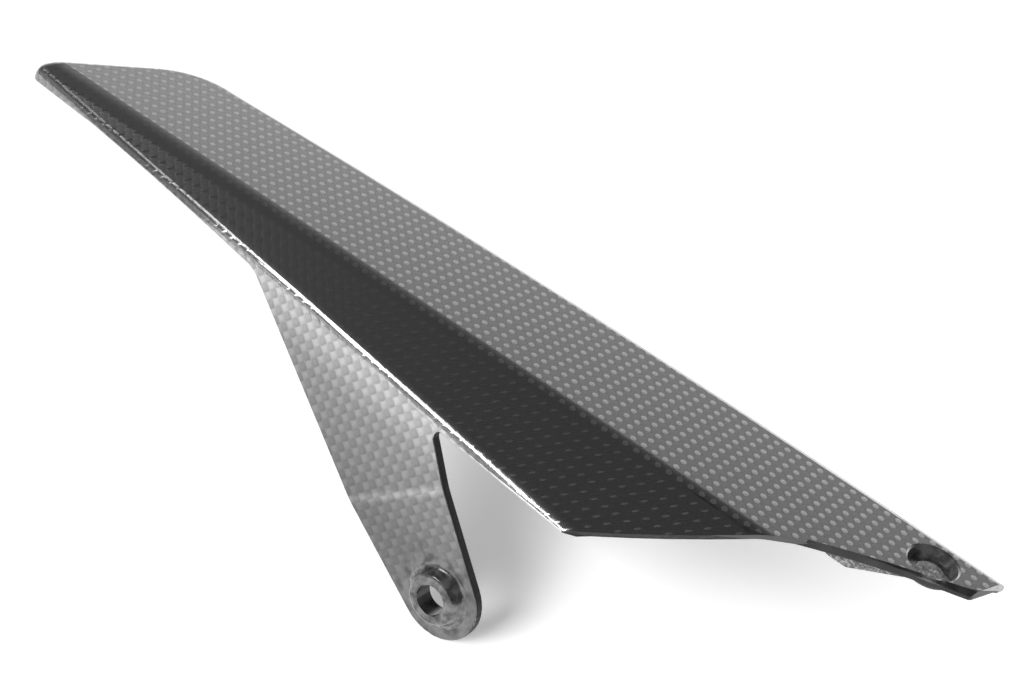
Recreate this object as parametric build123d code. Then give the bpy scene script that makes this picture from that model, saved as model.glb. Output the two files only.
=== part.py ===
from build123d import *
from math import acos, atan2, cos, degrees, hypot, radians, sin, tan
import os

# A moulded chain guard: one folded sheet with a bolt tab and a sunk bolt seat.
# Origin: the tab's bolt hole, at the outer face of its boss.
# +X runs along the guard to its pointed end, -Y faces outwards, +Z is up.

# The sheet and its folds
sheet = 2.0                 # laminate thickness
top_height = 50.0           # top panel above the tab bolt
crease_in = 21.6            # crease behind the face of the boss
side_slope = 34.0           # side panel below the level of the top panel, degrees
crease_round_blunt = 11.0   # outer round of the crease beyond the blunt end
crease_round_point = 2.5    # outer round of the crease beyond the pointed end
fold_drop = 21.8            # side panel from crease to lower fold, in line with the bolt
fold_fall = 0.113           # how fast the side panel widens towards the pointed end
fold_turn = 50.0            # lower fold, degrees
fold_round = 3.0            # outer round of the lower fold
bend_round = 16.0           # outer round of the slight bend across the tab

# Top panel, seen from above
panel_width = 38.0          # crease to the far side at its fullest
full_x = -24.0              # where the top panel is fullest
blunt_x = -163.6            # blunt end, at the crease
blunt_rake = 30.6           # blunt end from square, degrees
blunt_taper = 3.2           # how much narrower the top panel is at the blunt end
blunt_corner = 20.0         # round of the far corner at the blunt end
tip_x = 99.8                # tip, at the far side
tip_taper = 3.1             # how much narrower the top panel is at the tip
tip_end = 11.6              # length of the cut across the tip
tip_rake = 16.4             # tip cut from square, degrees
tip_round = 1.5             # round of the tip's near corner
tip_slant = 27.5            # near edge beside the tip, degrees
tip_bow = 0.9               # its bow
tip_run = 36.0              # its length
slant_cross = 41.8          # tip to where the slanting edge crosses the crease
side_slant = 35.2           # slanting edge down the side panel, degrees from the crease
side_bow = 0.6              # its bow
rim_round = 3.0             # outer round of the turned-down rim
rim_depth = 5.2             # rim round the blunt end and along the far side
tip_rim = 2.4               # rim left at the tip
edge_round = 1.5            # outer round of the near edge at the tip

# Tab and lower edge, seen from the side
lip_start_x = -138.0        # where the lip begins to deepen beyond the rim
lip_mid = 7.0               # lip below the top panel, half way to the tab
lip_tab = 9.5               # lip below the top panel where the tab begins
tab_start_x = -76.4
tab_end_round = 10.9        # tab end, about the bolt hole
tab_back_x = -15.6          # corner between the tab and the short lip
short_lip = 13.1            # lower edge below the top panel, just beyond the tab
short_lip_fall = 0.033      # how fast that edge falls towards the corner
tab_neck_round = 9.0
tab_corner_round = 1.5
tab_edge_round = 0.5        # outer round along the tab and the lip

# Boss on the tab
boss_height = 2.8
boss_base_r = 7.5
boss_face_r = 6.0
tab_hole_r = 3.8
boss_foot_round = 1.5       # where the boss rises from the tab
boss_face_round = 1.0

# Sunk bolt seat near the tip
seat_back = 13.8            # tip to the centre of the seat, along the guard
seat_in = 9.2               # far side at the tip to the centre of the seat
seat_r = 5.75
seat_floor_r = 4.6
seat_depth = 2.4
seat_floor = 1.0            # laminate left under the seat
seat_wall = 0.8             # laminate left round the seat
seat_foot_round = 1.2       # round under the seat
seat_hole_r = 3.2
seat_mouth_round = 0.3

# Locating lug on the far rim
lug_back = 35.8             # tip to the middle of the lug's toe
lug_depth = 19.4            # toe of the lug below the top panel
lug_toe = 6.0               # width of the toe
lug_lead = 12.0             # length of the lug's steep side
lug_round = 3.0

# Working lengths: the blocks and cuts below run well past the guard
reach = 400.0
spare = 70.0

# Places and directions that follow from the sizes
blunt_width = panel_width - blunt_taper
tip_width = panel_width - tip_taper
seat_x = tip_x - seat_back
seat_y = crease_in + tip_width - seat_in
lug_x = tip_x - lug_back
slope = radians(side_slope)
crease = Vector(0, crease_in, top_height)
down = Vector(0, -cos(slope), -sin(slope))
side_out = Vector(0, -sin(slope), cos(slope))
fold_line = (Vector(1, 0, 0) + down * fold_fall).normalized()
fold_point = crease + down * fold_drop
tab_out = side_out.rotate(Axis((0, 0, 0), fold_line), fold_turn)


def plan_face(inset):
    """Top panel from above, with its blunt end and far side, less an inset."""
    lean = tan(radians(blunt_rake))
    near = crease_in - spare
    start = (blunt_x - spare * lean, near)
    corner = (blunt_x + blunt_width * lean, crease_in + blunt_width)
    fullest = (full_x, crease_in + panel_width)
    tip = (tip_x, crease_in + tip_width)
    far_side = ThreePointArc(corner, fullest, tip)
    past = far_side @ 1 + (far_side % 1) * spare
    outline = [
        Line(start, corner),
        far_side,
        Line(tip, past),
        Line(past, (past.X, near)),
        Line((past.X, near), start),
    ]
    face = make_face(outline)
    turn = face.vertices().sort_by_distance(Vertex(*corner))[0]
    face = fillet(turn, blunt_corner)
    if inset:
        face = offset(face, -inset)
    return face


def roof(inset):
    """Block under the top and side panels, its crease easing along its length."""
    ends = []
    for x, r in ((-reach / 2, crease_round_blunt), (reach / 2, crease_round_point)):
        place = Plane(origin=(x, 0, 0), x_dir=(0, 1, 0), z_dir=(1, 0, 0))
        high = crease - Vector(0, 0, inset)
        bend = high + Vector(0, inset * tan(slope / 2), 0)
        foot = bend + down * spare
        points = [
            (bend.Y, bend.Z),
            (bend.Y + spare, bend.Z),
            (bend.Y + spare, foot.Z - spare),
            (foot.Y, foot.Z - spare),
            (foot.Y, foot.Z),
        ]
        face = make_face(Polyline(*points, close=True))
        knee = face.vertices().sort_by_distance(Vertex(bend.Y, bend.Z, 0))[0]
        face = fillet(knee, r - inset)
        ends.append(place * face)
    return loft(ends, ruled=True)


def hull(inset):
    """Solid block whose skin is the guard's outer face, moved in by an inset."""
    plan = Pos(0, 0, top_height - inset) * plan_face(inset)
    block = roof(inset) & extrude(plan, amount=2 * spare, dir=(0, 0, -1))
    place = Plane(origin=fold_point - tab_out * inset, z_dir=tab_out)
    block = split(block, bisect_by=place, keep=Keep.BOTTOM)
    # the lower fold
    near_fold = [e for e in block.edges() if abs((e % 0.5).dot(fold_line)) > 0.999]
    near_fold = [e for e in near_fold if (e @ 0.5 - fold_point).cross(fold_line).length < 3 * sheet]
    block = fillet(near_fold, fold_round - inset)
    block -= upright_cut(inset)
    if not inset:
        # the rim round the blunt end and along the far side
        rim = [e for e in block.edges() if on_wall(e @ 0.3) and on_wall(e @ 0.7)]
        rim = [e for e in rim if max((e @ 0).Z, (e @ 1).Z) > top_height - lip_tab and (e % 0.5).Z < 0.999]
        block = fillet(rim, rim_round)
    return block


def upright_cut(inset):
    """What comes off the outside so that the tab's lower half stands upright."""
    face_y = boss_height + inset
    gap = fold_point - tab_out * inset
    rise = (tab_out.X * gap.X - tab_out.Y * (face_y - gap.Y)) / tab_out.Z
    corner = Vector(0, face_y, gap.Z + rise)
    along = tab_out.cross(Vector(0, 1, 0)).normalized()
    place = Plane(origin=corner, x_dir=(0, 1, 0), z_dir=along)
    up_tab = tab_out.cross(along)
    up_tab = up_tab if up_tab.Z > 0 else -up_tab
    top = place.to_local_coords(corner + up_tab * spare)
    low_y = -spare if top.Y > 0 else spare
    kept = Polyline((top.X, top.Y), (0, 0), (0, low_y), (spare, low_y), (spare, top.Y), close=True)
    kept = make_face(kept)
    knee = kept.vertices().sort_by_distance(Vertex(0, 0, 0))[0]
    kept = place * fillet(knee, bend_round - inset)
    kept = extrude(kept, amount=reach / 2, both=True)
    # only below the short lip, and only on the outside of the tab
    below = Box(reach, reach, reach, align=(Align.CENTER, Align.CENTER, Align.MAX))
    below = Pos(0, 0, top_height - short_lip - tab_corner_round) * below
    outside = Box(reach, reach, reach, align=(Align.CENTER, Align.MAX, Align.CENTER))
    outside = Pos(0, face_y + 2 * sheet, 0) * outside
    return (below & outside) - kept


def on_wall(point):
    """True on the blunt end or the far side."""
    flat = Vertex(point.X, point.Y, 0)
    return min(e.distance_to(flat) for e in wall_lines) < 0.01


def tangent(point, turn):
    """Where a straight edge from a point meets the round end of the tab."""
    angle = atan2(point[1], point[0]) + turn * acos(tab_end_round / hypot(*point))
    return (tab_end_round * cos(angle), tab_end_round * sin(angle))


def near_edge():
    """The near edge from the tip backwards, from above, and the tip's end before it."""
    far = Vector(tip_x, crease_in + tip_width)
    rake = Vector(sin(radians(tip_rake)), cos(radians(tip_rake)))
    near = far - rake * tip_end
    run = Vector(-cos(radians(tip_slant)), -sin(radians(tip_slant)))
    bowed = near + run * tip_run / 2 + Vector(run.Y, -run.X) * tip_bow
    return Line(far + rake * tip_end, near), ThreePointArc(near, bowed, near + run * tip_run)


def pointed_face():
    """What lies beyond the near edge beside the tip and beyond the tip, from above."""
    end, edge = near_edge()
    start = edge @ 1 + (edge % 1) * 2 * spare
    outline = [
        end,
        edge,
        Line(edge @ 1, start),
        Line(start, (reach, start.Y)),
        Line((reach, start.Y), (reach, (end @ 0).Y)),
        Line((reach, (end @ 0).Y), end @ 0),
    ]
    face = make_face(outline)
    return fillet(face.vertices().sort_by_distance(Vertex(*(edge @ 0)))[0], tip_round)


def near_round():
    """What the round takes off the near edge; it runs out where the side panel's edge begins."""
    _, edge = near_edge()
    centre = edge.arc_center
    r = edge.radius
    bend = ThreePointArc((r, -edge_round), (r + 0.32 * edge_round, -0.32 * edge_round), (r + edge_round, 0))
    low = bend @ 0 - (bend % 0) * edge_round / 2
    high = bend @ 1 + (bend % 1) * edge_round / 2
    outline = [
        Line(low, bend @ 0),
        bend,
        Line(bend @ 1, high),
        Line(high, (high.X, edge_round)),
        Line((high.X, edge_round), (r - 2 * edge_round, edge_round)),
        Line((r - 2 * edge_round, edge_round), (r - 2 * edge_round, low.Y)),
        Line((r - 2 * edge_round, low.Y), low),
    ]
    ahead = edge @ 0 - centre
    behind = edge @ 1 - centre
    lead = degrees(atan2(ahead.Y, ahead.X))
    sweep = degrees(atan2(behind.Y, behind.X)) - lead
    ring = revolve(Plane.XZ * make_face(outline), Axis.Z, 1.3 * sweep)
    ring = Pos(centre.X, centre.Y, top_height) * Rot(0, 0, lead - 0.3 * sweep) * ring
    chord = edge @ 1 - edge @ 0
    pivot = Axis(edge @ 0 + Vector(0, 0, top_height), (chord.Y, -chord.X, 0))
    return ring.rotate(pivot, degrees(atan2(edge_round, tip_run)))


def side_face():
    """What lies beyond the slanting edge of the side panel, square to that panel."""
    slant = radians(side_slant)
    cross = Vector(tip_x - slant_cross, 0)
    run = Vector(-cos(slant), -sin(slant))
    foot = cross + run * fold_drop * 2
    bowed = cross + run * fold_drop + Vector(-run.Y, run.X) * side_bow
    edge = ThreePointArc(cross, bowed, foot)
    past = foot + (edge % 1) * spare
    above = cross - (edge % 0) * spare
    outline = [
        Line(above, cross),
        edge,
        Line(foot, past),
        Line(past, (reach, past.Y)),
        Line((reach, past.Y), (reach, above.Y)),
        Line((reach, above.Y), above),
    ]
    return make_face(outline)


def pointed_cut():
    """Everything beyond the slanting edge, upright along the top panel and square to the side panel."""
    upright = Pos(0, 0, -reach / 2) * extrude(pointed_face(), amount=reach)
    place = Plane(origin=crease, x_dir=(1, 0, 0), z_dir=side_out)
    square = extrude(place * side_face(), amount=reach / 2, both=True)
    return upright & square


def lower_cut():
    """Everything below the nose, lip, tab and short lip, from the side."""
    rim = top_height - rim_depth
    nose = (lip_start_x, rim)
    neck = (tab_start_x, top_height - lip_tab)
    mid = ((nose[0] + neck[0]) / 2, top_height - lip_mid)
    corner = (tab_back_x, top_height - short_lip)
    far_z = corner[1] - short_lip_fall * (reach / 2 - tab_back_x)
    left = tangent(neck, 1)
    right = tangent(corner, -1)
    outline = [
        Line((-reach / 2, rim), nose),
        ThreePointArc(nose, mid, neck),
        Line(neck, left),
        ThreePointArc(left, (0, -tab_end_round), right),
        Line(right, corner),
        Line(corner, (reach / 2, far_z)),
        Line((reach / 2, far_z), (reach / 2, -reach / 2)),
        Line((reach / 2, -reach / 2), (-reach / 2, -reach / 2)),
        Line((-reach / 2, -reach / 2), (-reach / 2, rim)),
    ]
    face = make_face(outline)
    for point, r in ((neck, tab_neck_round), (corner, tab_corner_round)):
        face = fillet(face.vertices().sort_by_distance(Vertex(*point))[0], r)
    return Plane.XZ.offset(-split_y) * extrude(face, amount=reach / 2)


def far_cut():
    """Everything below the far rim and its lug, from the side."""
    base = top_height - rim_depth
    toe = top_height - lug_depth
    points = [
        (-reach / 2, base),
        (lug_x - lug_lead, base),
        (lug_x - lug_toe / 2, toe),
        (lug_x + lug_toe / 2, toe),
        (tip_x, top_height - tip_rim),
        (reach / 2, top_height - tip_rim),
        (reach / 2, -reach / 2),
        (-reach / 2, -reach / 2),
    ]
    face = make_face(Polyline(*points, close=True))
    for point in points[1:4]:
        face = fillet(face.vertices().sort_by_distance(Vertex(*point))[0], lug_round)
    return Plane.XZ.offset(-split_y) * extrude(face, amount=-reach / 2)


wall_lines = [e for e in plan_face(0).edges() if (e @ 0.5).Y > crease_in - spare / 2]
wall_lines = [e for e in wall_lines if (e @ 0.5).X < tip_x]
split_y = crease_in + 0.7 * panel_width     # between the near edge and the far wall

outer = hull(0) - pointed_cut()
guard = outer - hull(sheet)
guard -= lower_cut()
guard -= far_cut()
guard = guard.solids().sort_by(SortBy.VOLUME)[-1]

# boss on the tab
tab_axis = Plane(origin=(0, boss_height, 0), x_dir=(1, 0, 0), z_dir=(0, -1, 0))
pad_r = boss_base_r + 1.5 * boss_foot_round
outline = Polyline(
    (0, -sheet / 2), (pad_r, -sheet / 2), (pad_r, 0), (boss_base_r, 0),
    (boss_face_r, boss_height), (0, boss_height), close=True,
)
profile = make_face(outline)
for point, r in (((boss_base_r, 0), boss_foot_round), ((boss_face_r, boss_height), boss_face_round)):
    profile = fillet(profile.vertices().sort_by_distance(Vertex(*point))[0], r)
boss = tab_axis * Rot(90, 0, 0) * revolve(profile, Axis.Y)
bore = tab_axis * Cylinder(tab_hole_r, 4 * boss_height)
guard = guard + boss - bore
rings = [e for e in guard.edges() if e.geom_type == GeomType.CIRCLE]
tab_end = [e for e in rings if abs(e.radius - tab_end_round) < 0.01 and (e @ 0.5).Y < boss_height + 0.01]
guard = guard.fillet(tab_edge_round, tab_end)

# sunk bolt seat
mouth = Pos(seat_x, seat_y, top_height)
deep = (Align.CENTER, Align.CENTER, Align.MAX)
cup = Cone(seat_floor_r + seat_wall, seat_r + seat_wall, seat_depth + seat_floor, align=deep)
cup = mouth * fillet(cup.edges().sort_by(Axis.Z)[0], seat_foot_round)
wall = Vector(seat_r - seat_floor_r, seat_depth) * (seat_mouth_round / seat_depth)
foot = Vector(seat_r, 0) - wall
lip = Vector(seat_r + seat_mouth_round, 0)
bend = ThreePointArc(foot, (foot + lip) * 0.4 + Vector(seat_r, 0) * 0.2, lip)
above = lip + (bend % 1) * 2 * seat_mouth_round
outline = [
    Line((0, -seat_depth), (seat_floor_r, -seat_depth)),
    Line((seat_floor_r, -seat_depth), foot),
    bend,
    Line(lip, above),
    Line(above, (above.X, seat_depth)),
    Line((above.X, seat_depth), (0, seat_depth)),
    Line((0, seat_depth), (0, -seat_depth)),
]
pit = mouth * revolve(Plane.XZ * make_face(outline), Axis.Z)
hole = mouth * Cylinder(seat_hole_r, 4 * seat_depth)
guard = guard + (cup & outer) - near_round() - pit - hole

guard = guard.solids()[0]
guard.label = "chain_guard"

os.makedirs("parts", exist_ok=True)
export_step(guard, "parts/chain_guard.step")
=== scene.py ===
import math
import bpy
import numpy as np
from mathutils import Matrix, Vector


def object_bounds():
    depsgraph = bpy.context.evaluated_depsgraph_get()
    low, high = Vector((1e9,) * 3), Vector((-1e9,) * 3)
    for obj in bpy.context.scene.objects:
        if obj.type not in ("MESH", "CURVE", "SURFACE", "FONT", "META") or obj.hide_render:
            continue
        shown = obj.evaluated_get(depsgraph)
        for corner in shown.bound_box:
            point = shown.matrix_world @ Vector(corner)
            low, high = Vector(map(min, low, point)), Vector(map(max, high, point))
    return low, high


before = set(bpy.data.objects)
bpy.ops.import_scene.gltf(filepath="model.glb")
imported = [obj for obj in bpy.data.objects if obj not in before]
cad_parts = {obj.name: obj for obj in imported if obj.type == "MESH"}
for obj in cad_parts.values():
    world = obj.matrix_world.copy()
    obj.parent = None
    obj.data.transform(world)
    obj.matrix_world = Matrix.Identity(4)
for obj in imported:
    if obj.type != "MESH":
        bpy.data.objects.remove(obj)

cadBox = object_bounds()
scene = bpy.context.scene
scene.view_settings.view_transform = "Standard"
white = (1, 1, 1, 1)


# small helpers for node trees

def newTree(name):
    mat = bpy.data.materials.new(name)
    mat.use_nodes = True
    tree = mat.node_tree
    shader = tree.nodes["Principled BSDF"]
    return mat, tree, shader


def put(tree, socket, value):
    if hasattr(value, "is_output"):
        tree.links.new(value, socket)
    else:
        socket.default_value = value


def fix(shader, settings):
    # what is the same all over, set on the shader's own sockets
    for name, value in settings.items():
        shader.inputs[name].default_value = value


def calc(tree, op, a, b=0.0, c=0.0):
    node = tree.nodes.new("ShaderNodeMath")
    node.operation = op
    for i, value in enumerate((a, b, c)):
        put(tree, node.inputs[i], value)
    return node.outputs[0]


def times(tree, product, *factors):
    for factor in factors:
        product = calc(tree, "MULTIPLY", product, factor)
    return product


def blend(tree, share, low, high):
    # from low to high as share goes from 0 to 1
    if hasattr(low, "is_output") or hasattr(high, "is_output"):
        step = calc(tree, "SUBTRACT", high, low)
    else:
        step = high - low
    return calc(tree, "MULTIPLY_ADD", share, step, low)


def vec(tree, op, a, b=(0, 0, 0), scale=None):
    node = tree.nodes.new("ShaderNodeVectorMath")
    node.operation = op
    put(tree, node.inputs[0], a)
    put(tree, node.inputs[1], b)
    if scale is not None:
        put(tree, node.inputs["Scale"], scale)
    return node.outputs["Value" if op == "DOT_PRODUCT" else "Vector"]


def parts(tree, vector):
    node = tree.nodes.new("ShaderNodeSeparateXYZ")
    put(tree, node.inputs[0], vector)
    return node.outputs[0], node.outputs[1], node.outputs[2]


def placeOf(tree):
    return tree.nodes.new("ShaderNodeTexCoord").outputs["Object"]


def facingOf(tree):
    return tree.nodes.new("ShaderNodeNewGeometry").outputs["Normal"]


def ramp(tree, value, low, high, toLow=0.0, toHigh=1.0, kind="SMOOTHSTEP"):
    node = tree.nodes.new("ShaderNodeMapRange")
    node.interpolation_type = kind
    for i, v in enumerate((value, low, high, toLow, toHigh)):
        put(tree, node.inputs[i], v)
    return node.outputs[0]


def noise(tree, where, scale, detail=2.0, rough=0.5, output="Fac"):
    node = tree.nodes.new("ShaderNodeTexNoise")
    put(tree, node.inputs["Vector"], where)
    node.inputs["Scale"].default_value = scale
    node.inputs["Detail"].default_value = detail
    node.inputs["Roughness"].default_value = rough
    return node.outputs[output]


def greyOf(tree, tone):
    node = tree.nodes.new("ShaderNodeCombineColor")
    for i in range(3):
        put(tree, node.inputs[i], tone)
    return node.outputs[0]


def bumpOf(tree, height, distance):
    node = tree.nodes.new("ShaderNodeBump")
    node.inputs["Distance"].default_value = distance
    node.inputs["Strength"].default_value = 1.0
    put(tree, node.inputs["Height"], height)
    return node.outputs[0]


def mottle(tree, shader, spots, look):
    # tone and roughness that follow the same spots
    tone = ramp(tree, spots, *look["span"], look["dark"], look["pale"])
    put(tree, shader.inputs["Base Color"], greyOf(tree, tone))
    put(tree, shader.inputs["Roughness"], ramp(tree, spots, *look["roughSpan"], *look["rough"], "LINEAR"))


# the folded sheet, lengths in metres: used to lay the cloth out flat over its folds
sheetFolds = {
    "creaseY": 0.0216,
    "creaseZ": 0.0500,
    "slope": math.radians(34.0),
    "foldDrop": 0.0218,     # from the crease to the lower fold, and how it grows along the guard
    "foldFall": 0.113,
    "foldTurn": math.radians(50.0),
    "tabFaceY": 0.0028,
    "rimFrom": 0.012,       # so far behind the crease, a face that isn't level belongs to the rim
    "rimLevel": 0.95,
    "tow": 0.00205,         # from one tow of the cloth to the next
}


def sideFacing():
    # the way that the side panel's outer face looks
    slope = sheetFolds["slope"]
    return 0, -math.sin(slope), math.cos(slope)


def foldDirections():
    f = sheetFolds
    down = Vector((0, -math.cos(f["slope"]), -math.sin(f["slope"])))
    line = (Vector((1, 0, 0)) + down * f["foldFall"]).normalized()
    tabOut = Matrix.Rotation(f["foldTurn"], 3, line) @ Vector(sideFacing())
    across = Vector((0, -tabOut.z, tabOut.y))
    if across.z > 0:
        across = -across
    return down, across / across.length


def foldPlace(x):
    # run from the crease to the lower fold, the fold's place, run on to the tab's bend, the bend's height
    f = sheetFolds
    down, across = foldDirections()
    drop = f["foldDrop"] + f["foldFall"] * x
    fold = Vector((0, f["creaseY"], f["creaseZ"])) + down * drop
    bend = (f["tabFaceY"] - fold.y) / across.y
    return drop, fold, bend, fold.z + bend * across.z


def flatPlace(p, n, down, across):
    # where a corner lies on the cloth when its folds are opened
    f = sheetFolds
    u, v = p.x, p.y - f["creaseY"]
    below = f["creaseZ"] - p.z
    if v >= 0:
        onRim = abs(n.z) < f["rimLevel"] and v > f["rimFrom"]
        if onRim and abs(n.x) > abs(n.y):
            u -= below
        elif onRim:
            v += below
        return u, v
    far = Vector((0, v, -below)).dot(down)
    drop, fold, bend, bendZ = foldPlace(p.x)
    if far < drop:
        return u, -far
    if p.z > bendZ:
        return u, -drop - (Vector((0, p.y, p.z)) - fold).dot(across)
    return u, -drop - bend - (bendZ - p.z)


def layCloth(obj):
    # flat place of each corner on the cloth, counted in tows, which run at 45 degrees to the guard
    down, across = foldDirections()
    mesh = obj.data
    layer = mesh.uv_layers.new(name="cloth")
    corners = np.zeros(len(mesh.loops) * 2)
    diagonal = math.sqrt(2) * sheetFolds["tow"]
    for face in mesh.polygons:
        for i in face.loop_indices:
            p = mesh.vertices[mesh.loops[i].vertex_index].co
            u, v = flatPlace(p, face.normal, down, across)
            corners[2 * i] = (u + v) / diagonal
            corners[2 * i + 1] = (v - u) / diagonal
    layer.data.foreach_set("uv", corners)
    print("cloth laid over", len(mesh.loops), "corners")


cloth = {
    "wander": 0.05,         # how far tows stray, in tows
    "wanderScale": 60.0,
    "level": (0.1, 0.8),    # upward part of a face's direction: from upright to level
    "topmost": (0.86, 0.97),        # and from the sloping side to the top
    "calm": (0.03, 0.2),    # backward part of it, where resin fills the weave over the far rim
    "dot": (0.46, 0.38),    # half length and half width of a float's painted highlight on the top, in tows
    "dash": (0.14, 0.44),   # and on the sloping side
    "brick": (0.54, 0.46),  # on upright faces
    "ovalPower": 2.0,       # dots and dashes are oval, bricks nearly square
    "brickPower": 4.0,
    "ovalEdge": (0.35, 1.15),
    "brickEdge": (0.2, 1.6),
    "hollow": 0.78,         # a float's painted highlight is duller at its middle
    "hollowEdge": (0.0, 0.4),
    "halo": -0.16,          # and painted shade round it
    "haloEdge": (0.9, 1.4),
    "sunk": (0.012, 0.018), # round the boss the cloth sinks into resin
    "mistScale": 300.0,
    "mistReach": 0.008,
    "mistSpan": (0.3, 0.7),
    "cloud": (-0.6, 0.7),
    "cloudSpan": (0.32, 0.68),
    "flatCrimp": 0.35,      # the flat tows rise less
    "gapTone": 0.90,        # painted shade between neighbouring tows
    "gapEdge": (0.36, 0.50),
    "crown": (0.90, 1.06),  # painted highlight: a tow is paler along its crown
    "crownRise": (0.0, 0.9),
    "lean": 0.17,           # and paler towards one corner of each crossing, painted light from one side
    "fibreLong": 0.6,       # fibres are long along the tow and fine across it
    "fibreFine": 9.0,
    "fibreShift": (7.3, 5.1, 13.7),
    "fibreScale": 1.6,
    "fibreSpan": (0.25, 0.75),
}


def weave(tree):
    # plain weave: which tow is on top, its height, direction and shading
    w = cloth
    uv = tree.nodes.new("ShaderNodeUVMap")
    uv.uv_map = "cloth"
    place = placeOf(tree)
    stray = noise(tree, place, w["wanderScale"], detail=1.0, output="Color")
    stray = vec(tree, "SUBTRACT", stray, (0.5, 0.5, 0.5))
    spot = vec(tree, "ADD", uv.outputs[0], vec(tree, "SCALE", stray, scale=2 * w["wander"]))
    # which crossing this is, and how far from its middle, in both directions of the cloth
    p, q, _ = parts(tree, spot)
    ip, iq = calc(tree, "FLOOR", p), calc(tree, "FLOOR", q)
    odd = calc(tree, "FLOORED_MODULO", calc(tree, "ADD", ip, iq), 2.0)
    fp = calc(tree, "SUBTRACT", calc(tree, "SUBTRACT", p, ip), 0.5)
    fq = calc(tree, "SUBTRACT", calc(tree, "SUBTRACT", q, iq), 0.5)
    along = blend(tree, odd, fp, fq)
    side = blend(tree, odd, fq, fp)

    def away(power, long, wide):
        # 0 at the middle of a float, 1 at its outline
        ends = calc(tree, "DIVIDE", calc(tree, "ABSOLUTE", along), long)
        edges = calc(tree, "DIVIDE", calc(tree, "ABSOLUTE", side), wide)
        return calc(tree, "ADD", calc(tree, "POWER", ends, power), calc(tree, "POWER", edges, power))

    # one set of tows lies wide and flat; the other floats: bricks upright, and a painted highlight on each
    # float, dots on top and dashes on the slope
    facing = facingOf(tree)
    _, backward, upward = parts(tree, facing)
    level = ramp(tree, upward, *w["level"])
    topmost = ramp(tree, upward, *w["topmost"])
    long, wide = [blend(tree, topmost, dash, dot) for dash, dot in zip(w["dash"], w["dot"])]
    fromOval = away(w["ovalPower"], long, wide)
    oval = times(tree, ramp(tree, fromOval, *w["ovalEdge"], 1.0, 0.0),
                 ramp(tree, fromOval, *w["hollowEdge"], w["hollow"], 1.0))
    halo = times(tree, odd, topmost, ramp(tree, fromOval, *w["haloEdge"], 0.0, w["halo"]))
    brick = ramp(tree, away(w["brickPower"], *w["brick"]), *w["brickEdge"], 1.0, 0.0)
    calm = ramp(tree, backward, *w["calm"], 1.0, 0.0)
    onTop = times(tree, odd, blend(tree, level, brick, oval), calm)

    # the cloth sinks into cloudy resin round the boss
    x, _, z = parts(tree, place)
    fromBoss = calc(tree, "ADD", calc(tree, "POWER", x, 2.0), calc(tree, "POWER", z, 2.0))
    fromBoss = calc(tree, "SQRT", fromBoss)
    mist = noise(tree, place, w["mistScale"])
    fromBoss = calc(tree, "MULTIPLY_ADD", mist, w["mistReach"], fromBoss)
    sunk = ramp(tree, fromBoss, *w["sunk"], 1.0, 0.0)
    onTop = blend(tree, sunk, onTop, ramp(tree, mist, *w["mistSpan"]))
    cloud = calc(tree, "MULTIPLY_ADD", sunk, ramp(tree, mist, *w["cloudSpan"], *w["cloud"]), 1.0)

    # each tow's rise: round along it and across it, nothing at its edges
    bulge = times(tree, calc(tree, "COSINE", calc(tree, "MULTIPLY", along, math.pi)),
                  calc(tree, "MULTIPLY_ADD", calc(tree, "MULTIPLY", side, side), -4.0, 1.0))
    height = times(tree, bulge, blend(tree, odd, w["flatCrimp"], 1.0), calm)

    # upright faces get a painted highlight on each tow's crown and painted shade in the gaps, level ones
    # and the resin don't
    gap = ramp(tree, calc(tree, "ABSOLUTE", side), *w["gapEdge"], 1.0, w["gapTone"])
    crown = times(tree, ramp(tree, bulge, *w["crownRise"], *w["crown"]),
                  calc(tree, "MULTIPLY_ADD", calc(tree, "SUBTRACT", fq, fp), w["lean"], 1.0))
    shown = times(tree, calc(tree, "SUBTRACT", 1.0, level), calc(tree, "SUBTRACT", 1.0, sunk))
    relief = calc(tree, "ADD", blend(tree, shown, 1.0, times(tree, crown, gap)), halo)

    # fibres: fine streaks that run along the tow, other ones at each crossing
    shiftP, shiftQ, shiftOdd = w["fibreShift"]
    streak = tree.nodes.new("ShaderNodeCombineXYZ")
    put(tree, streak.inputs[0],
        calc(tree, "MULTIPLY_ADD", ip, shiftP, calc(tree, "MULTIPLY", along, w["fibreLong"])))
    put(tree, streak.inputs[1],
        calc(tree, "MULTIPLY_ADD", iq, shiftQ, calc(tree, "MULTIPLY", side, w["fibreFine"])))
    put(tree, streak.inputs[2], calc(tree, "MULTIPLY", odd, shiftOdd))
    fibre = noise(tree, streak.outputs[0], w["fibreScale"], detail=3.0, rough=0.6)

    # direction across the tow, in the sheet's own plane
    upSheet = vec(tree, "CROSS_PRODUCT", facing, (1, 0, 0))
    sign = calc(tree, "MULTIPLY_ADD", onTop, 2.0, -1.0)
    acrossTow = vec(tree, "ADD", vec(tree, "SCALE", upSheet, scale=sign), (1, 0, 0))
    return {"onTop": onTop, "height": height, "fibre": fibre, "across": acrossTow,
            "cloud": cloud, "relief": relief}


def fibreTone(tree, fibre, tone):
    return ramp(tree, fibre, *cloth["fibreSpan"], *tone, "LINEAR")


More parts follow.
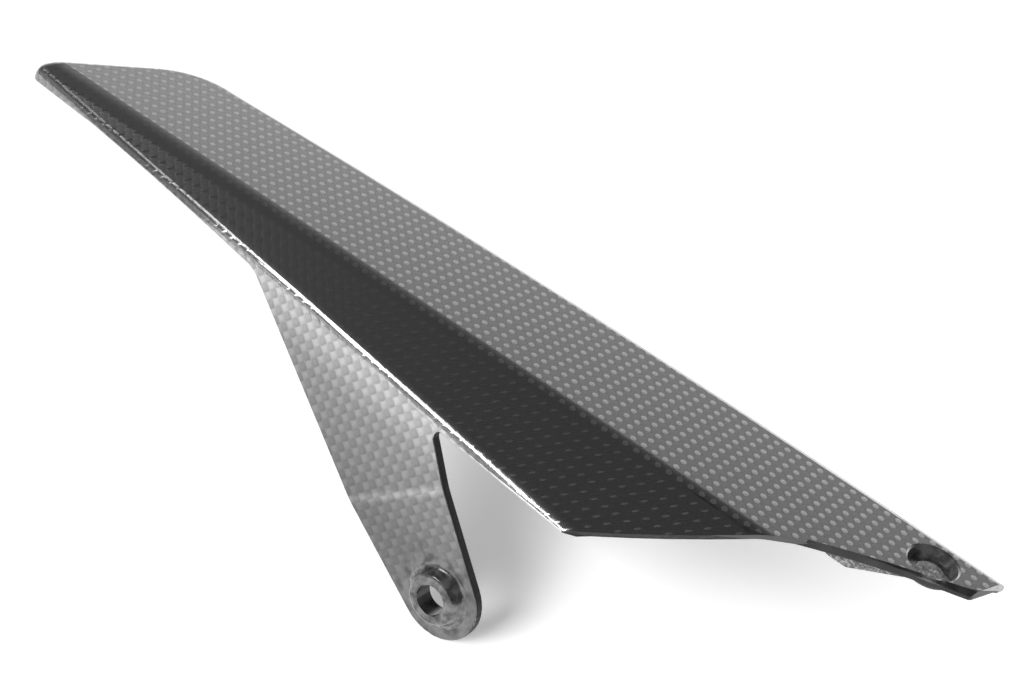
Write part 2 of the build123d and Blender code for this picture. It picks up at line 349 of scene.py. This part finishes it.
tones = {
    "float": (0.28, 0.31),  # on upright faces, on level faces: painted light, the same tows paler or darker by how their face lies
    "floatLevel": (0.3, 0.7),
    # flat tows likewise, paler upright and darker level, as painted light
    "flat": (0.36, 0.19),
    "flatLevel": (0.1, 0.6),
    "spread": (0.64, 1.48), # painted highlight: level floats paler from the blunt end to the pointed end
    "spreadX": (-0.15, 0.06),
    "dash": 0.8,            # floats on the sloping side, darkened as painted shade
    "slopeUp": 0.83,        # upward part of its direction, and how far round that the dashes go
    "slopeEdge": (0.06, 0.13),
    "bend": 1.65,           # painted highlight along the tab's bend
    "bendWide": 0.0021,
    "fold": 1.6,            # and painted highlight under the fold
    "foldWide": 0.013,
    "foldX": (-0.11, -0.07),
    "end": 0.47,            # and painted shade towards the tab's end
    "endBelow": (0.004, 0.032),
    "foldGlint": 1.6,             # painted highlight added on the fold itself, only in front of the y set below
    "foldGlintWide": 0.0016,
    "foldGlintX": (-0.12, -0.07),
    "foldGlintY": 0.02,
}


def towTone(tree, onTop):
    # painted light: how pale each set of tows shows, by how level the face lies
    t = tones
    upward = parts(tree, facingOf(tree))[2]
    x = parts(tree, placeOf(tree))[0]
    spread = blend(tree, ramp(tree, upward, *t["floatLevel"]), 1.0,
                   ramp(tree, x, *t["spreadX"], *t["spread"], "LINEAR"))
    # painted shade on the floats of the sloping side
    offSlope = calc(tree, "ABSOLUTE", calc(tree, "SUBTRACT", upward, t["slopeUp"]))
    dash = ramp(tree, offSlope, *t["slopeEdge"], t["dash"], 1.0)
    floats = times(tree, ramp(tree, upward, *t["floatLevel"], *t["float"]), spread, dash)
    flats = ramp(tree, upward, *t["flatLevel"], *t["flat"])
    return blend(tree, onTop, flats, floats)


def tabPaintedLight(tree):
    # painted highlight along the tab's bend and under the fold, and painted shade towards its end
    t = tones
    x, y, z = parts(tree, placeOf(tree))
    _, startFold, _, startBend = foldPlace(0.0)
    _, nextFold, _, nextBend = foldPlace(1.0)
    below = calc(tree, "SUBTRACT", blend(tree, x, startFold.z, nextFold.z), z)
    off = calc(tree, "SUBTRACT", blend(tree, x, startBend, nextBend), z)
    onBend = ramp(tree, calc(tree, "ABSOLUTE", off), 0.0, t["bendWide"], t["bend"], 1.0)
    overTab = ramp(tree, x, *t["foldX"], 1.0, t["fold"])
    underFold = ramp(tree, below, 0.0, t["foldWide"], overTab, 1.0)
    towardEnd = ramp(tree, below, *t["endBelow"], 1.0, t["end"], "LINEAR")
    onTab = calc(tree, "GREATER_THAN", below, 0.0)
    tone = blend(tree, onTab, 1.0, times(tree, onBend, underFold, towardEnd))
    # painted highlight: a pale strip along the fold itself
    outer = calc(tree, "LESS_THAN", y, t["foldGlintY"])
    foldGlintAlong = ramp(tree, x, *t["foldGlintX"], 0.0, t["foldGlint"])
    strip = ramp(tree, calc(tree, "ABSOLUTE", below), 0.0, t["foldGlintWide"], foldGlintAlong, 0.0)
    return times(tree, tone, calc(tree, "MULTIPLY_ADD", strip, outer, 1.0))


coat = {
    "crimp": 0.00002,       # how far a tow rises over the next
    "fibre": (0.85, 1.15),
    "shine": {"Metallic": 1.0, "Roughness": 0.26, "Anisotropic": 0.9,
              "Coat Weight": 1.0, "Coat Roughness": 0.03, "Coat IOR": 1.5},
}


def wovenCoat():
    # outer face: cloth under a clear coat
    mat, tree, shader = newTree("wovenCoat")
    w = weave(tree)
    tone = times(tree, towTone(tree, w["onTop"]), w["relief"], tabPaintedLight(tree), w["cloud"],
                 fibreTone(tree, w["fibre"], coat["fibre"]))
    put(tree, shader.inputs["Base Color"], greyOf(tree, tone))
    put(tree, shader.inputs["Tangent"], w["across"])
    put(tree, shader.inputs["Normal"], bumpOf(tree, w["height"], coat["crimp"]))
    fix(shader, coat["shine"])
    return mat


resin = {
    "cloudScale": 420.0,
    "dark": 0.04,
    "pale": 0.22,
    "span": (0.3, 0.7),
    "rough": (0.22, 0.34),
    "roughSpan": (0.3, 0.75),
    "wave": 0.00006,
    "waveScale": 260.0,
    "shine": {"Metallic": 0.85, "Coat Weight": 1.0, "Coat Roughness": 0.04, "Coat IOR": 1.5},
}


def cloudedResin():
    # boss and seat: cloth drowned in gloss resin, with no weave to be seen
    mat, tree, shader = newTree("cloudedResin")
    place = placeOf(tree)
    mottle(tree, shader, noise(tree, place, resin["cloudScale"], detail=3.0), resin)
    wave = noise(tree, place, resin["waveScale"], detail=1.0)
    put(tree, shader.inputs["Normal"], bumpOf(tree, wave, resin["wave"]))
    fix(shader, resin["shine"])
    return mat


gloss = {
    "cloudScale": 300.0,
    "dark": 0.006,
    "pale": 0.018,
    "span": (0.3, 0.7),
    "rough": (0.1, 0.2),
    "roughSpan": (0.3, 0.75),
}


def blackResin():
    # near edge, bore and underside of the seat: a thick bead of gloss resin
    mat, tree, shader = newTree("blackResin")
    mottle(tree, shader, noise(tree, placeOf(tree), gloss["cloudScale"]), gloss)
    return mat


plies = {
    "thick": 0.00033,
    "dark": 0.006,
    "pale": 0.02,
    "lineEdge": (0.05, 0.3),
    "grainScale": 900.0,
    "stray": 0.5,           # how far the grain bends the lines, in plies
    "rough": (0.4, 0.6),
    "roughSpan": (0.3, 0.7),
    "relief": 0.00003,
    "shine": {"Specular IOR Level": 0.25},
}


def cutEdge(name, through):
    # trimmed edge: the plies show as fine lines along it
    mat, tree, shader = newTree(name)
    place = placeOf(tree)
    depth = vec(tree, "DOT_PRODUCT", place, through)
    grain = noise(tree, place, plies["grainScale"])
    layer = calc(tree, "MULTIPLY_ADD", grain, plies["stray"], calc(tree, "DIVIDE", depth, plies["thick"]))
    line = calc(tree, "PINGPONG", layer, 0.5)
    tone = ramp(tree, line, *plies["lineEdge"], plies["dark"], plies["pale"])
    put(tree, shader.inputs["Base Color"], greyOf(tree, tone))
    put(tree, shader.inputs["Roughness"], ramp(tree, grain, *plies["roughSpan"], *plies["rough"], "LINEAR"))
    put(tree, shader.inputs["Normal"], bumpOf(tree, calc(tree, "ADD", line, grain), plies["relief"]))
    fix(shader, plies["shine"])
    return mat


inner = {
    "flat": 0.035,
    "float": 0.055,
    "fibre": (0.75, 1.25),
    "grainScale": 1500.0,
    "grainRise": 0.7,       # beside the tows' own rise
    "rough": (0.34, 0.52),
    "roughSpan": (0.3, 0.7),
    "relief": 0.00006,
}


def rawInside():
    # inner face: the same cloth under a thin dull skin of resin
    mat, tree, shader = newTree("rawInside")
    w = weave(tree)
    grain = noise(tree, placeOf(tree), inner["grainScale"], detail=3.0, rough=0.6)
    tone = times(tree, blend(tree, w["onTop"], inner["flat"], inner["float"]), w["relief"],
                 fibreTone(tree, w["fibre"], inner["fibre"]))
    put(tree, shader.inputs["Base Color"], greyOf(tree, tone))
    put(tree, shader.inputs["Roughness"], ramp(tree, grain, *inner["roughSpan"], *inner["rough"], "LINEAR"))
    rise = calc(tree, "MULTIPLY_ADD", grain, inner["grainRise"], w["height"])
    put(tree, shader.inputs["Normal"], bumpOf(tree, rise, inner["relief"]))
    return mat


chips = {
    "speckScale": 1400.0,
    "flakeScale": 900.0,
    "dark": 0.09,
    "pale": 0.38,
    "span": (0.42, 0.7),
    "rough": (0.08, 0.4),
    "roughSpan": (0.35, 0.65),
    "speckRise": 0.6,       # beside the flakes' own rise
    "deep": 0.0004,
}


def chippedRaw():
    # inner face of the lug: dry cloth with glinting broken resin
    mat, tree, shader = newTree("chippedRaw")
    place = placeOf(tree)
    flake = tree.nodes.new("ShaderNodeTexVoronoi")
    put(tree, flake.inputs["Vector"], place)
    flake.inputs["Scale"].default_value = chips["flakeScale"]
    speck = noise(tree, place, chips["speckScale"], detail=3.0, rough=0.7)
    mottle(tree, shader, speck, chips)
    rise = calc(tree, "MULTIPLY_ADD", speck, chips["speckRise"], flake.outputs["Distance"])
    put(tree, shader.inputs["Normal"], bumpOf(tree, rise, chips["deep"]))
    return mat


# where each finish lies: places in metres, leanings as parts of a face's direction
zones = {
    "facing": 0.6,          # a face that looks a way
    "turned": 0.5,          # one that is turned to it
    "leaning": 0.3,         # and one that leans to it
    "panelUnder": 0.0479,   # underside of the top panel, and how far below it three finishes start or end
    "innerSlack": 0.0004,
    "rimSlack": 0.0006,
    "cupSlack": 0.0003,
    "sideSlack": 0.004,     # how far over the side panel's plane its inner face is looked for
    "farSide": 0.0500,
    "lugStart": 0.045,
    "bluntX": -0.09,        # the blunt end's inner wall
    "bluntY": 0.004,
    "tabBack": 0.016,       # the tab lies in front of this
    "tabStart": -0.11,
    "tabTop": 0.0455,
    "endLean": 0.35,        # trimmed ends of the tab lean at least so far along the guard
    "edgeLean": 0.65,       # and less than this outwards
    "cutOut": (0.584, -0.672, -0.453),      # the way that the side panel's slanted cut looks
    "cutFacing": 0.85,
    "cutX": 0.015,
    "cutY": 0.026,
    "nearStart": 0.0400,
    "nearUnder": 0.0465,
    "nearOut": (0.5, -0.86, 0),
    "bossRound": 0.0093,
    "bossFoot": 0.00279,
    "bossClear": 0.0085,    # trimmed edges stay so far from the boss's axis
    "boreRound": 0.004,
    "seat": (0.0860, 0.0473),
    "seatRound": 0.0062,
    "seatWall": 0.002,
    "seatUnder": 0.0462,
    "seatLean": 0.05,
}


def layFinishes(obj, names):
    z = zones
    at = {name: i for i, name in enumerate(names)}
    mesh = obj.data
    count = len(mesh.polygons)
    c = np.zeros(count * 3)
    n = np.zeros(count * 3)
    mesh.polygons.foreach_get("center", c)
    mesh.polygons.foreach_get("normal", n)
    c, n = c.reshape(-1, 3), n.reshape(-1, 3)
    x, y, up = c.T
    nx, ny, nz = n.T
    finish = np.full(count, at["woven"])
    # inner face
    sideOut = np.array(sideFacing())
    underSide = (np.array((0, sheetFolds["creaseY"], sheetFolds["creaseZ"])) - c) @ sideOut
    underPanel = up < z["panelUnder"]
    inside = (y < sheetFolds["creaseY"]) & (underSide > -z["sideSlack"]) & (n @ sideOut < -z["facing"])
    inside |= (nz < -z["facing"]) & (up > z["panelUnder"] - z["innerSlack"])
    inside |= (ny > z["turned"]) & (y < z["tabBack"])
    inside |= underPanel & (x < z["bluntX"]) & (y > z["bluntY"]) & (nx > z["leaning"])
    inside |= underPanel & (y > z["farSide"]) & (ny < -z["leaning"])
    finish[inside] = at["inside"]
    finish[inside & underPanel & (y > z["farSide"]) & (x > z["lugStart"])] = at["chipped"]
    # trimmed edges
    fromBoss = np.hypot(x, up)
    low = (nz < -z["leaning"]) | (np.abs(nx) > z["endLean"]) & (x > z["tabStart"])
    low &= (y < z["tabBack"]) & (up < z["tabTop"]) & (np.abs(ny) < z["edgeLean"])
    finish[low & (fromBoss > z["bossClear"])] = at["edgeTab"]
    rimEdge = (nz < -z["facing"]) & (up < z["panelUnder"] - z["rimSlack"])
    finish[rimEdge & (y > z["tabBack"])] = at["edgeTop"]
    slanted = n @ np.array(z["cutOut"]) > z["cutFacing"]
    finish[slanted & (x > z["cutX"]) & (y < z["cutY"])] = at["edgeSide"]
    # resin: near edge, boss, bore, seat and its underside
    near = (x > z["nearStart"]) & (up > z["nearUnder"]) & (n @ np.array(z["nearOut"]) > z["leaning"])
    finish[near & (y < z["farSide"])] = at["black"]
    finish[(fromBoss < z["bossRound"]) & (y < z["bossFoot"])] = at["clouded"]
    finish[(fromBoss < z["boreRound"]) & (np.abs(ny) < z["turned"])] = at["black"]
    offX, offY = x - z["seat"][0], y - z["seat"][1]
    fromSeat = np.hypot(offX, offY)
    inward = nx * offX + ny * offY < 0
    inSeat = (fromSeat < z["seatRound"]) & (up > z["seatUnder"])
    finish[inSeat & ((nz > z["seatLean"]) | inward)] = at["clouded"]
    cup = (fromSeat < z["seatRound"] + z["seatWall"]) & (up < z["panelUnder"] - z["cupSlack"])
    finish[cup & (finish == at["woven"])] = at["black"]
    mesh.polygons.foreach_set("material_index", finish)
    print("finishes laid:", {name: int((finish == i).sum()) for name, i in at.items()})


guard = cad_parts["chain_guard"]
layCloth(guard)
finishes = {
    "woven": wovenCoat(),
    "clouded": cloudedResin(),
    "inside": rawInside(),
    "chipped": chippedRaw(),
    "edgeTab": cutEdge("edgeTab", (0, 1, 0)),
    "edgeTop": cutEdge("edgeTop", (0, 0, 1)),
    "edgeSide": cutEdge("edgeSide", sideFacing()),
    "black": blackResin(),
}
guard.data.materials.clear()
for mat in finishes.values():
    guard.data.materials.append(mat)
layFinishes(guard, finishes)

ground = {
    "gap": 0.0005,          # under the guard's lowest point
    "size": 6.0,
    "backFrom": (0.09, 0.16),
    "lift": (0.36, 0.80),   # in front, at the back
    "shine": {"Base Color": (0.85, 0.85, 0.85, 1), "Roughness": 0.6, "Specular IOR Level": 0.1,
              "Emission Color": white},
}


def layFloor():
    bpy.ops.mesh.primitive_plane_add(size=ground["size"], location=(0, 0, cadBox[0].z - ground["gap"]))
    plane = bpy.context.object
    plane.name = "floor"
    mat, tree, shader = newTree("paleFloor")
    fix(shader, ground["shine"])
    # what the lens and the gloss see of the floor is lifted, more so towards the back
    paths = tree.nodes.new("ShaderNodeLightPath")
    seen = calc(tree, "MAXIMUM", paths.outputs["Is Camera Ray"], paths.outputs["Is Glossy Ray"])
    backward = parts(tree, placeOf(tree))[1]
    lift = ramp(tree, backward, *ground["backFrom"], *ground["lift"])
    put(tree, shader.inputs["Emission Strength"], times(tree, seen, lift))
    plane.data.materials.append(mat)
    print("floor laid")
    return plane


floor = layFloor()

# world: a bright band low behind on the left that dies away upwards, dim elsewhere
studio = {
    "dim": 0.14,
    "glow": 2.0,
    "toward": (-0.35, 0.94, 0.0),
    "wide": (0.25, 0.9),
    "fall": (0.1, 0.72),
    "left": 0.09,           # a little more on the far left
    "leftFrom": (-0.35, -0.68),
}


def hangStudio():
    world = bpy.data.worlds.new("studio")
    scene.world = world
    world.use_nodes = True
    tree = world.node_tree
    back = tree.nodes["Background"]
    ray = tree.nodes.new("ShaderNodeTexCoord").outputs["Generated"]
    x, _, z = parts(tree, ray)
    toward = vec(tree, "DOT_PRODUCT", ray, studio["toward"])
    band = times(tree, ramp(tree, toward, *studio["wide"]),
                 ramp(tree, z, *studio["fall"], studio["glow"], 0.0))
    band = calc(tree, "ADD", band, ramp(tree, x, *studio["leftFrom"], 0.0, studio["left"]))
    # the band is for the gloss; the floor keeps the lamps' shadow, and the lens sees plain white
    paths = tree.nodes.new("ShaderNodeLightPath")
    strength = calc(tree, "MULTIPLY_ADD", band, paths.outputs["Is Glossy Ray"], studio["dim"])
    back.inputs["Color"].default_value = white
    put(tree, back.inputs["Strength"], calc(tree, "MAXIMUM", strength, paths.outputs["Is Camera Ray"]))
    print("studio hung")


hangStudio()

# two lamps are for the gloss, the far one lights the floor and casts the shadow
lamps = {
    "key": {"spot": (-0.43, -0.59, 0.69), "aim": (-0.03, 0.02, 0.03), "size": (0.40, 0.16),
            "watts": 1.9, "forGloss": True},
    "fill": {"spot": (-0.88, -0.58, 0.36), "aim": (-0.05, 0.02, 0.03), "size": (0.50, 0.40),
             "watts": 0.30, "forGloss": True},
    "front": {"spot": (-0.1, -4.4, 2.43), "aim": (0.0, 0.05, 0.0), "size": (1.8, 1.8),
              "watts": 400.0, "forGloss": False},
}


def softbox(name, spot, aim, size, watts, forGloss):
    light = bpy.data.lights.new(name, "AREA")
    light.shape = "RECTANGLE"
    light.size, light.size_y = size
    light.energy = watts
    obj = bpy.data.objects.new(name, light)
    scene.collection.objects.link(obj)
    obj.location = spot
    obj.rotation_mode = "QUATERNION"
    obj.rotation_quaternion = (Vector(aim) - Vector(spot)).to_track_quat("-Z", "Y")
    obj.visible_glossy = forGloss
    obj.visible_diffuse = not forGloss


for name, lamp in lamps.items():
    softbox(name, **lamp)
print("lamps hung:", list(lamps))

# camera, at the photograph's angle
shot = {
    "spot": Vector((0.16363, -0.30851, 0.28142)),
    "ahead": Vector((-0.40184, 0.75592, -0.51682)),
    "up": Vector((-0.50204, 0.29014, 0.81472)),
    "sensor": 36.0,
    "focal": 2000.0 / 1024.0,       # focal length, in picture widths
    "clip": (0.01, 50.0),
}


def setCamera():
    cam = bpy.data.cameras.new("camera")
    cam.lens = shot["sensor"] * shot["focal"]
    cam.sensor_width = shot["sensor"]
    cam.sensor_fit = "HORIZONTAL"
    cam.clip_start, cam.clip_end = shot["clip"]
    camera = bpy.data.objects.new("camera", cam)
    scene.collection.objects.link(camera)
    right = shot["ahead"].cross(shot["up"]).normalized()
    above = right.cross(shot["ahead"]).normalized()
    turn = Matrix((right, above, -shot["ahead"].normalized())).transposed()
    camera.matrix_world = Matrix.Translation(shot["spot"]) @ turn.to_4x4()
    scene.camera = camera
    print("camera set")


setCamera()
